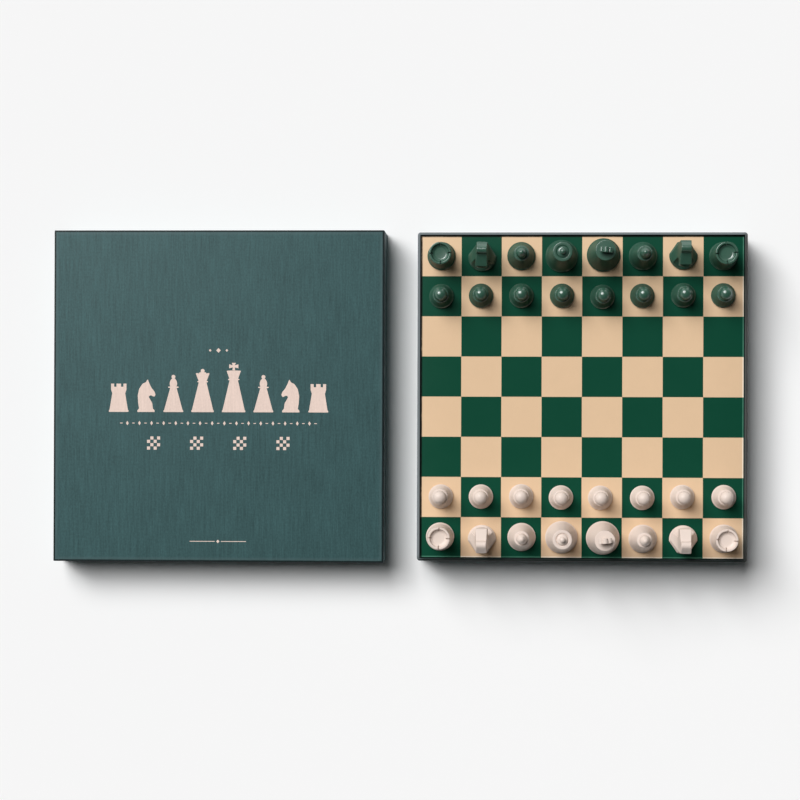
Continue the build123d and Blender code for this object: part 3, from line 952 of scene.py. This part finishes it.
class CHESS_OT_board(bpy.types.Operator):
    """Makes the printed face with its rounded edge and the 32 dark squares on it"""

    bl_idname = "chess_set.board"
    bl_label = "Playing board"

    def execute(self, context):
        looks = context.scene.chess_board
        low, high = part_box("board_face")
        square = (high.x - low.x) / 8
        top = high.z - looks.ink
        face = box_piece("board_printed_face", low, (high.x, high.y, top))
        bevel(face, looks.edge, 5, lambda edge: any(near(vert.co.z, top) for vert in edge.verts))
        for line in range(1, 8):
            for along in ((1, 0, 0), (0, 1, 0)):
                place = low + square * line * Vector(along)
                pick(face, "FACE", lambda item: True)
                bpy.ops.mesh.bisect(plane_co=place, plane_no=along, clear_inner=False, clear_outer=False)
        clear_selection()

        dark = add("board_dark_squares", face.data.copy())

        def is_dark(item):
            centre = item.calc_center_median()
            file, rank = int((centre.x - low.x) / square), int((centre.y - low.y) / square)
            return (file + rank) % 2 == 0 and item.normal.z > 0.05

        pick(dark, "FACE", lambda item: not is_dark(item))
        bpy.ops.mesh.delete(type="FACE")
        pick(dark, "FACE", lambda item: True)
        bpy.ops.mesh.inset(thickness=looks.clearance, depth=0)
        bpy.ops.mesh.select_all(action="INVERT")
        bpy.ops.mesh.delete(type="FACE")
        apply_modifier(dark, "SOLIDIFY", thickness=looks.ink, offset=1, use_even_offset=True)
        for piece in (face, dark):
            tidy_mesh(piece, 40)
        light_print = print_material("varnished_light_print", looks.light, looks.light_highlight)
        dark_print = print_material("varnished_dark_print", looks.dark, looks.dark_highlight)
        dress(face, light_print, "light_print", "board", "board_face")
        dress(dark, dark_print, "dark_print", "board", "dark_squares")
        dress_node("board_core", raw_greyboard())
        dress_node("board_underside", smooth_lining_paper())
        return {"FINISHED"}


# Men


def rounded(corners, steps=4):
    """Turns (radius, height, rounding) corners into an outline whose corners are rounded."""
    outline = []
    for number, (radius, height, rounding) in enumerate(corners):
        here = Vector((radius, height))
        if rounding == 0 or number in (0, len(corners) - 1):
            outline.append(here)
            continue
        back = Vector(corners[number - 1][:2]) - here
        on = Vector(corners[number + 1][:2]) - here
        reach = min(rounding / tan(back.angle(on) / 2), 0.45 * back.length, 0.45 * on.length)
        start, end = here + back.normalized() * reach, here + on.normalized() * reach
        for step in range(steps + 1):
            part = step / steps
            outline.append(start * (1 - part) ** 2 + here * 2 * part * (1 - part) + end * part**2)
    return outline


def bow(start, middle, end, steps=14):
    """Points along the arc through three points, without its first one."""
    a, b, c = Vector(start), Vector(middle), Vector(end)
    aa, bb, cc = (point.length_squared for point in (a, b, c))
    d = 2 * (a.x * (b.y - c.y) + b.x * (c.y - a.y) + c.x * (a.y - b.y))
    x = (aa * (b.y - c.y) + bb * (c.y - a.y) + cc * (a.y - b.y)) / d
    y = (aa * (c.x - b.x) + bb * (a.x - c.x) + cc * (b.x - a.x)) / d
    centre = Vector((x, y))
    radius = (a - centre).length
    first, mid, last = (atan2(point.y - y, point.x - x) for point in (a, b, c))
    while last < first - 1e-9:
        last += 2 * pi
    while mid < first - 1e-9:
        mid += 2 * pi
    if mid > last:
        last -= 2 * pi
    turns = [first + (last - first) * step / steps for step in range(1, steps + 1)]
    return [centre + radius * Vector((cos(turn), sin(turn))) for turn in turns]


def ball(radius, top, neck, steps=22):
    """Where the neck under a ball on the axis ends, and points from there over the ball to its top."""
    start = -acos(neck / radius)
    turns = [start + (pi / 2 - start) * step / steps for step in range(1, steps)]
    points = [Vector((radius * cos(turn), top - radius + radius * sin(turn))) for turn in turns]
    return (neck, top - radius - sqrt(radius**2 - neck**2)), points + [Vector((0, top))]


def foot_corners(looks, base, taper, height):
    """Corners of a foot and the body above it, up to the collar."""
    return [
        (0, 0, 0),
        (base - looks.foot_chamfer, 0, 0.2 * MM),
        (base, looks.foot_chamfer, 0.3 * MM),
        (base, looks.foot_edge, 0.4 * MM),
        (base - looks.foot_shoulder, looks.foot_edge + looks.foot_shoulder, 0.9 * MM),
        (taper, height, 0.35 * MM),
    ]


def stem_corners(looks, man, base, over):
    """Corners of a foot, the body on it and its collar, up to the foot of what is above."""
    taper, low, collar = (getattr(looks, f"{man}_{size}") for size in ("taper", "collar_height", "collar"))
    half = looks.bead / 2
    return foot_corners(looks, base, taper, low) + [
        (collar - half, low, 0.15 * MM),
        (collar, low + half, 0.3 * MM),
        (collar - half, low + looks.bead, 0.15 * MM),
        (over, low + looks.bead, 0.1 * MM),
    ]


def turned(name, outline):
    """Spins a half outline about the upright axis into a closed man that stands on the origin."""
    mesh = bpy.data.meshes.new(name)
    mesh.from_pydata([(x, 0, z) for x, z in outline], [(i, i + 1) for i in range(len(outline) - 1)], [])
    piece = add(name, mesh)
    pick(piece, "VERT", lambda vert: True)
    steps = bpy.context.scene.chess_men.steps
    bpy.ops.mesh.spin(steps=steps, angle=2 * pi, center=(0, 0, 0), axis=(0, 0, 1))
    tidy_mesh(piece)
    return piece


# How far a man is turned from facing the other side, in degrees anticlockwise. The others face straight on.
TURNS = {
    "white_rook_a": -2,
    "white_king": 5,
    "white_king_cross": 5,
    "white_rook_h": -5,
    "green_rook_a": 2,
    "green_knight_b": -2,
    "green_king": -4,
    "green_king_cross": -4,
    "green_rook_h": 4,
}


def stand(man, node):
    """Moves a man to where its CAD node stands: on the same ground, about the same middle."""
    low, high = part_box(node)
    sides = list(zip(*(vert.co for vert in man.data.vertices)))
    own_low, own_high = Vector(map(min, sides)), Vector(map(max, sides))
    step = (low + high - own_low - own_high) / 2
    step.z = low.z - own_low.z
    man.data.transform(Matrix.Translation(step))


def set_men(pattern, ending, *names):
    """Copies a pattern to both sides, for each CAD name without its side. The pattern itself goes."""
    looks = bpy.context.scene.chess_men
    white = lacquer("satin_white_lacquer", looks.white, contrast=0.05, shine=0.1, polish=0.12)
    green = lacquer("gloss_green_lacquer", looks.green, contrast=0.3, shine=0.06, polish=1.0)
    for name in names:
        for side, material, facing in (("white", white, 0), ("green", green, 180)):
            node = f"{side}_{name}"
            man = add(f"{node}_{ending}", pattern.data.copy())
            man.data.transform(Matrix.Rotation(radians(facing + TURNS.get(node, 0)), 4, "Z"))
            stand(man, node)
            body = frame["nodes"][node]["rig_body"]
            dress(man, material, f"{side}_lacquer", body, node)
    bpy.data.objects.remove(pattern)


def pawn_outline(looks):
    """Half a pawn's outline, from the axis under its foot to the axis at its top, as the next ones."""
    corners = stem_corners(looks, "pawn", looks.pawn_base, looks.pawn_neck)
    neck, head = ball(looks.pawn_ball, looks.pawn_height, looks.pawn_neck)
    return rounded(corners + [(*neck, 0)]) + head


def rook_corners(looks):
    """Corners of a rook up to its rim's upper edge."""
    low = looks.rook_height - looks.rook_rim_length
    corners = foot_corners(looks, looks.officer_base, looks.rook_waist, looks.rook_waist_height)
    return corners + [(looks.rook_rim, low, 0.6 * MM), (looks.rook_rim, looks.rook_height, 0.55 * MM)]


def rook_outline(looks):
    """Half a rook's outline, with its well."""
    top, mouth, depth = looks.rook_height, looks.rook_well, looks.rook_well_depth
    well = [
        (mouth, top, 0.5 * MM),
        (0.9 * mouth, top - 0.62 * depth, 1.4 * MM),
        (0.66 * mouth, top - 0.96 * depth, 2.2 * MM),
        (0, top - depth, 0),
    ]
    return rounded(rook_corners(looks) + well, 6)


def bishop_outline(looks):
    """Half a bishop's outline."""
    outline = rounded(stem_corners(looks, "bishop", looks.officer_base, looks.bishop_head_foot))
    neck, knob = ball(looks.bishop_ball, looks.bishop_height, looks.bishop_ball_neck, 14)
    swell = looks.bishop_collar_height + looks.bead + looks.bishop_swell
    return outline + bow(outline[-1], (looks.bishop_head, swell), neck) + knob


def queen_outline(looks):
    """Half a queen's outline, with the dished crown."""
    rim = looks.queen_collar_height + looks.bead + looks.queen_crown_length
    dish = rim - looks.queen_dish
    crown = [
        (looks.queen_crown, rim - 0.9 * MM, 0.5 * MM),
        (looks.queen_crown - 0.45 * MM, rim, 0.4 * MM),
        (looks.queen_crown - looks.queen_rim, rim, 0.4 * MM),
        (looks.queen_dome, dish, 0),
    ]
    outline = rounded(stem_corners(looks, "queen", looks.queen_base, looks.queen_crown_foot) + crown)
    neck, knob = ball(looks.queen_ball, looks.queen_height, looks.queen_ball_neck, 14)
    return outline + bow(outline[-1], (looks.queen_shoulder, dish + 1.8 * MM), neck) + knob


def king_outline(looks):
    """Half a king's outline, with the hole for the cross."""
    crown = looks.king_collar_height + looks.bead + looks.king_crown_length
    seat = crown + looks.king_crown_rise
    top = [
        (looks.king_crown, crown - 1.0 * MM, 0.4 * MM),
        (looks.king_crown, crown, 0.45 * MM),
        (looks.king_crown - 0.9 * MM, crown, 0),
        (looks.king_seat, seat, 0),
        (looks.king_hole, seat, 0),
        (looks.king_hole, seat - looks.king_hole_depth, 0),
        (0, seat - looks.king_hole_depth, 0),
    ]
    return rounded(stem_corners(looks, "king", looks.king_base, looks.king_crown_foot) + top)


def carved(name, node, chamfer, grain):
    """A carved man from its CAD node, facing straight on: broken edges, and a skin rebuilt and eased."""
    piece = add(name, frame["nodes"][node].data.copy())
    piece.data.materials.clear()
    piece.data.transform(Matrix.Rotation(radians(-TURNS.get(node, 0)), 4, "Z"))
    tidy_mesh(piece)
    pick(piece, "VERT", lambda vert: True)
    bpy.ops.mesh.dissolve_limited(angle_limit=radians(4))
    apply_modifier(piece, "BEVEL", width=chamfer, segments=2, limit_method="ANGLE", angle_limit=radians(32))
    apply_modifier(piece, "REMESH", mode="VOXEL", voxel_size=grain, adaptivity=0.0)
    apply_modifier(piece, "SMOOTH", factor=0.5, iterations=3)
    tidy_mesh(piece, 60)
    return piece


class CHESS_OT_pawns(bpy.types.Operator):
    """Turns a pawn and sets all sixteen"""

    bl_idname = "chess_set.pawns"
    bl_label = "Pawns"

    def execute(self, context):
        pattern = turned("pawn_pattern", pawn_outline(context.scene.chess_men))
        set_men(pattern, "turned", *(f"pawn_{letter}" for letter in "abcdefgh"))
        return {"FINISHED"}


class CHESS_OT_rooks(bpy.types.Operator):
    """Turns a rook with a dished well, cuts its four slits and sets all four"""

    bl_idname = "chess_set.rooks"
    bl_label = "Rooks"

    def execute(self, context):
        looks = context.scene.chess_men
        pattern = turned("rook_pattern", rook_outline(looks))
        top, half, spare = looks.rook_height, looks.rook_slit / 2, 2 * MM
        low = (-half, 0.8 * looks.rook_well, top - looks.rook_slit_depth)
        high = (half, looks.rook_rim + spare, top + spare)
        for quarter in range(4):
            cutter = box_piece("slit_cutter", low, high)
            cutter.data.transform(Matrix.Rotation(quarter * pi / 2, 4, "Z"))
            apply_modifier(pattern, "BOOLEAN", operation="DIFFERENCE", object=cutter, solver="EXACT")
            bpy.data.objects.remove(cutter)
        tidy_mesh(pattern)
        set_men(pattern, "turned", "rook_a", "rook_h")
        return {"FINISHED"}


class CHESS_OT_knights(bpy.types.Operator):
    """Carves a knight and sets all four"""

    bl_idname = "chess_set.knights"
    bl_label = "Knights"

    def execute(self, context):
        looks = context.scene.chess_men
        pattern = carved("knight_pattern", "white_knight_b", looks.knight_chamfer, looks.carving_grain)
        self.lift_nose(pattern, looks)
        set_men(pattern, "carved", "knight_b", "knight_g")
        return {"FINISHED"}

    def lift_nose(self, piece, looks):
        """Stretches the head upwards from its jaw, so that its face slopes less towards the nose."""
        low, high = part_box("white_knight_b")
        jaw = high.z - looks.knight_jaw_drop
        length_of_nose = looks.knight_nose - looks.knight_bridge
        slope = (looks.knight_nose_drop - looks.knight_bridge_drop) / length_of_nose
        for vert in piece.data.vertices:
            reach = vert.co.y - (low.y + high.y) / 2 - looks.knight_bridge
            if reach > 0 and vert.co.z > jaw:
                face = high.z - looks.knight_bridge_drop - slope * reach
                lift = looks.knight_nose_lift * min(reach / length_of_nose, 1.25)
                vert.co.z += lift * min((vert.co.z - jaw) / max(face - jaw, 0.5 * MM), 1)
        piece.data.update()
        tidy_mesh(piece, 60)


class CHESS_OT_bishops(bpy.types.Operator):
    """Turns a bishop and sets all four"""

    bl_idname = "chess_set.bishops"
    bl_label = "Bishops"

    def execute(self, context):
        pattern = turned("bishop_pattern", bishop_outline(context.scene.chess_men))
        set_men(pattern, "turned", "bishop_c", "bishop_f")
        return {"FINISHED"}


class CHESS_OT_queens(bpy.types.Operator):
    """Turns a queen and sets both"""

    bl_idname = "chess_set.queens"
    bl_label = "Queens"

    def execute(self, context):
        pattern = turned("queen_pattern", queen_outline(context.scene.chess_men))
        set_men(pattern, "turned", "queen")
        return {"FINISHED"}


class CHESS_OT_kings(bpy.types.Operator):
    """Turns a king, carves its cross and sets both kings"""

    bl_idname = "chess_set.kings"
    bl_label = "Kings"

    def execute(self, context):
        looks = context.scene.chess_men
        set_men(turned("king_pattern", king_outline(looks)), "turned", "king")
        cross = carved("cross_pattern", "white_king_cross", looks.cross_chamfer, looks.cross_grain)
        set_men(cross, "carved", "king_cross")
        return {"FINISHED"}


# Ornament on the lid


def lozenge(x, y, half_width, half_height):
    """A lozenge about a point."""
    return [(x - half_width, y), (x, y - half_height), (x + half_width, y), (x, y + half_height)]


def bar(x, y, half_width, half_height):
    """An upright rectangle about a point."""
    corners = ((-1, -1), (1, -1), (1, 1), (-1, 1))
    return [(x + right * half_width, y + up * half_height) for right, up in corners]


def side_view(outline):
    """Both sides of a turned man's outline, up to its highest point, from the foot's left to its right."""
    top = max(range(len(outline)), key=lambda step: outline[step].y)
    right = [point for point in outline[: top + 1] if point.x > 0.05 * MM]
    return [Vector((-point.x, point.y)) for point in right] + right[::-1]


def rook_view(looks):
    """A rook seen from the side, with two notches in its rim."""
    top, notch = looks.rook_height, 0.45 * looks.rook_rim
    outer, inner, bottom = notch + 1.6 * MM, notch - 1.6 * MM, top - looks.rook_slit_depth
    half = [tuple(point) for point in rounded(rook_corners(looks)[1:])]
    half += [(outer, top), (outer, bottom), (inner, bottom), (inner, top)]
    return [(-x, y) for x, y in half] + half[::-1]


def king_views(looks):
    """A king seen from the side, and its cross."""
    outline = king_outline(looks)
    seat = max(point.y for point in outline)
    right = [point for point in outline if point.x > looks.king_hole * 1.5 and point.y <= seat]
    body = [Vector((-point.x, point.y)) for point in right] + right[::-1]
    arm, root, span, height = 2.7 * MM, 1.4 * MM, 6.2 * MM, 10.2 * MM
    centre = seat + 0.55 * height
    foot, bottom = 1.9 * MM, seat - 0.3 * MM
    side = [(foot, bottom), (root, centre - root), (span, centre - arm)]
    side += [(span, centre + arm), (root, centre + root), (arm, seat + height)]
    return body, [(-foot, bottom)] + side + [(-x, y) for x, y in side[:0:-1]]


def knight_view():
    """A knight seen from the side, looking right. Its corners are (x, height, rounding) in millimetres."""
    back = ((-11.6, 0, 0), (-11.6, 2.2, 0.5), (-9.4, 4.6, 1), (-10.6, 12, 4), (-11.2, 22, 6), (-9.4, 31, 6))
    head = ((-4.8, 38, 4), (-0.4, 40, 1), (2.2, 44, 0.3), (4.6, 38, 2), (7.4, 32.4, 4), (11.6, 27, 2))
    jaw = ((12.8, 23.4, 1.2), (11.4, 20.6, 1), (9.4, 21, 0.8), (6.4, 22.6, 1.4), (3.4, 20.8, 2))
    chest = ((5.2, 17.6, 2), (8.4, 12, 4), (9.4, 4.6, 1), (11.6, 2.2, 0.5), (11.6, 0, 0))
    corners = back + head + jaw + chest
    return rounded([(x * MM, y * MM, rounding * MM) for x, y, rounding in corners])


def placed(outline, scale, x, y, flip):
    """An outline at its scale and place, turned to face the other way where flip is -1."""
    return [(x + flip * scale * across, y + scale * up) for across, up in outline]


class CHESS_OT_lid_ornament(bpy.types.Operator):
    """Stamps the lid with a row of chessmen, a braid of lozenges and four small chequer boards"""

    bl_idname = "chess_set.lid_ornament"
    bl_label = "Lid ornament"

    def execute(self, context):
        looks = context.scene.chess_lid_ornament
        low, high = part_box("lid_wrap")
        middle = (low + high) / 2
        shapes = self.men(looks, context.scene.chess_men)
        for step, size in ((-1, 1.3), (0, 2.2), (1, 1.3)):
            shapes.append(lozenge(step * 8 * MM, looks.star_row, size * MM, size * MM))
        links = 32
        for link in range(links + 1):
            x = looks.braid_width * (link / links - 0.5)
            if link % 2:
                shapes.append(lozenge(x, looks.braid_row, 1.3 * MM, 2.1 * MM))
            else:
                shapes.append(bar(x, looks.braid_row, 1.2 * MM, 0.35 * MM))
        shapes += self.chequers(looks)
        for side in (-1, 1):
            half = looks.rule_width / 4 - 1.5 * MM
            centre = side * (looks.rule_width / 4 + 1.5 * MM)
            shapes.append(bar(centre, looks.rule_row, half, 0.3 * MM))
        shapes.append(lozenge(0, looks.rule_row, 1.6 * MM, 1.6 * MM))
        piece = self.stamp("lid_ornament_print", shapes, looks.thickness, middle.x, high.z)
        dress(piece, ornament_ink(), "light_print", "lid")
        return {"FINISHED"}

    def men(self, looks, sizes):
        """The back rank, seen from the side on one ground line."""
        bodies = {
            "rook": [rook_view(sizes)],
            "knight": [knight_view()],
            "bishop": [side_view(bishop_outline(sizes))],
            "queen": [side_view(queen_outline(sizes))],
            "king": list(king_views(sizes)),
        }
        rank = ("rook", "knight", "bishop", "queen", "king", "bishop", "knight", "rook")
        scale = looks.men_scale
        widths = [scale * 2 * max(abs(x) for shape in bodies[man] for x, y in shape) for man in rank]
        gap = (looks.men_width - sum(widths)) / (len(rank) - 1)
        shapes = []
        x = -looks.men_width / 2
        for number, (man, width) in enumerate(zip(rank, widths)):
            flip = -1 if number > 4 else 1
            shapes += [placed(shape, scale, x + width / 2, looks.men_row, flip) for shape in bodies[man]]
            x += width + gap
        return shapes

    def chequers(self, looks):
        """The dark squares of four small boards, each smaller than its place, so that no corners touch."""
        side, shapes = looks.chequer_square, []
        for board in range(4):
            left = (board - 1.5) * looks.chequer_pitch - 1.5 * side
            for file in range(4):
                for rank in range(4):
                    if (file + rank) % 2 == 0:
                        y = looks.chequer_row + (rank - 1.5) * side
                        shapes.append(bar(left + file * side, y, 0.46 * side, 0.46 * side))
        return shapes

    def stamp(self, name, shapes, thickness, x, z):
        """One piece from flat shapes, each drawn up to the ink's thickness."""
        mesh = bpy.data.meshes.new(name)
        points, faces = [], []
        for shape in shapes:
            faces.append(range(len(points), len(points) + len(shape)))
            points += [(x + across, up, z) for across, up in shape]
        mesh.from_pydata(points, [], faces)
        piece = add(name, mesh)
        pick(piece, "FACE", lambda face: True)
        draw_faces(thickness)
        bpy.ops.mesh.select_all(action="SELECT")
        bpy.ops.mesh.normals_make_consistent(inside=False)
        clear_selection()
        return piece


# Panel and registration


class CHESS_PT_panel(bpy.types.Panel):
    """Lists the pieces of the set, in the order in which they are made"""

    bl_idname = "CHESS_PT_panel"
    bl_label = "Boxed chess set"
    bl_space_type = "VIEW_3D"
    bl_region_type = "UI"
    bl_category = "Chess Set"

    def draw(self, context):
        for operator in OPERATORS:
            self.layout.operator(operator.bl_idname)
        for name in LOOKS:
            group = getattr(context.scene, name)
            box = self.layout.box()
            for key in group.__annotations__:
                box.prop(group, key)


LOOKS = {
    "chess_stage": StageLooks,
    "chess_box": BoxLooks,
    "chess_board": BoardLooks,
    "chess_lid_ornament": OrnamentLooks,
    "chess_men": MenLooks,
}
OPERATORS = (
    CHESS_OT_stage,
    CHESS_OT_tray,
    CHESS_OT_lid,
    CHESS_OT_lid_ornament,
    CHESS_OT_board,
    CHESS_OT_pawns,
    CHESS_OT_rooks,
    CHESS_OT_knights,
    CHESS_OT_bishops,
    CHESS_OT_queens,
    CHESS_OT_kings,
)


def register():
    for name, looks in LOOKS.items():
        bpy.utils.register_class(looks)
        setattr(bpy.types.Scene, name, bpy.props.PointerProperty(type=looks))
    for operator in OPERATORS:
        bpy.utils.register_class(operator)
    bpy.utils.register_class(CHESS_PT_panel)


def unregister():
    bpy.utils.unregister_class(CHESS_PT_panel)
    for operator in reversed(OPERATORS):
        bpy.utils.unregister_class(operator)
    for name, looks in LOOKS.items():
        delattr(bpy.types.Scene, name)
        bpy.utils.unregister_class(looks)


def main():
    """Makes the whole set."""
    register()
    bpy.ops.chess_set.stage()
    bpy.ops.chess_set.tray()
    bpy.ops.chess_set.lid()
    bpy.ops.chess_set.lid_ornament()
    bpy.ops.chess_set.board()
    bpy.ops.chess_set.pawns()
    bpy.ops.chess_set.rooks()
    bpy.ops.chess_set.knights()
    bpy.ops.chess_set.bishops()
    bpy.ops.chess_set.queens()
    bpy.ops.chess_set.kings()
    clear_selection()


if __name__ == "__main__":
    main()
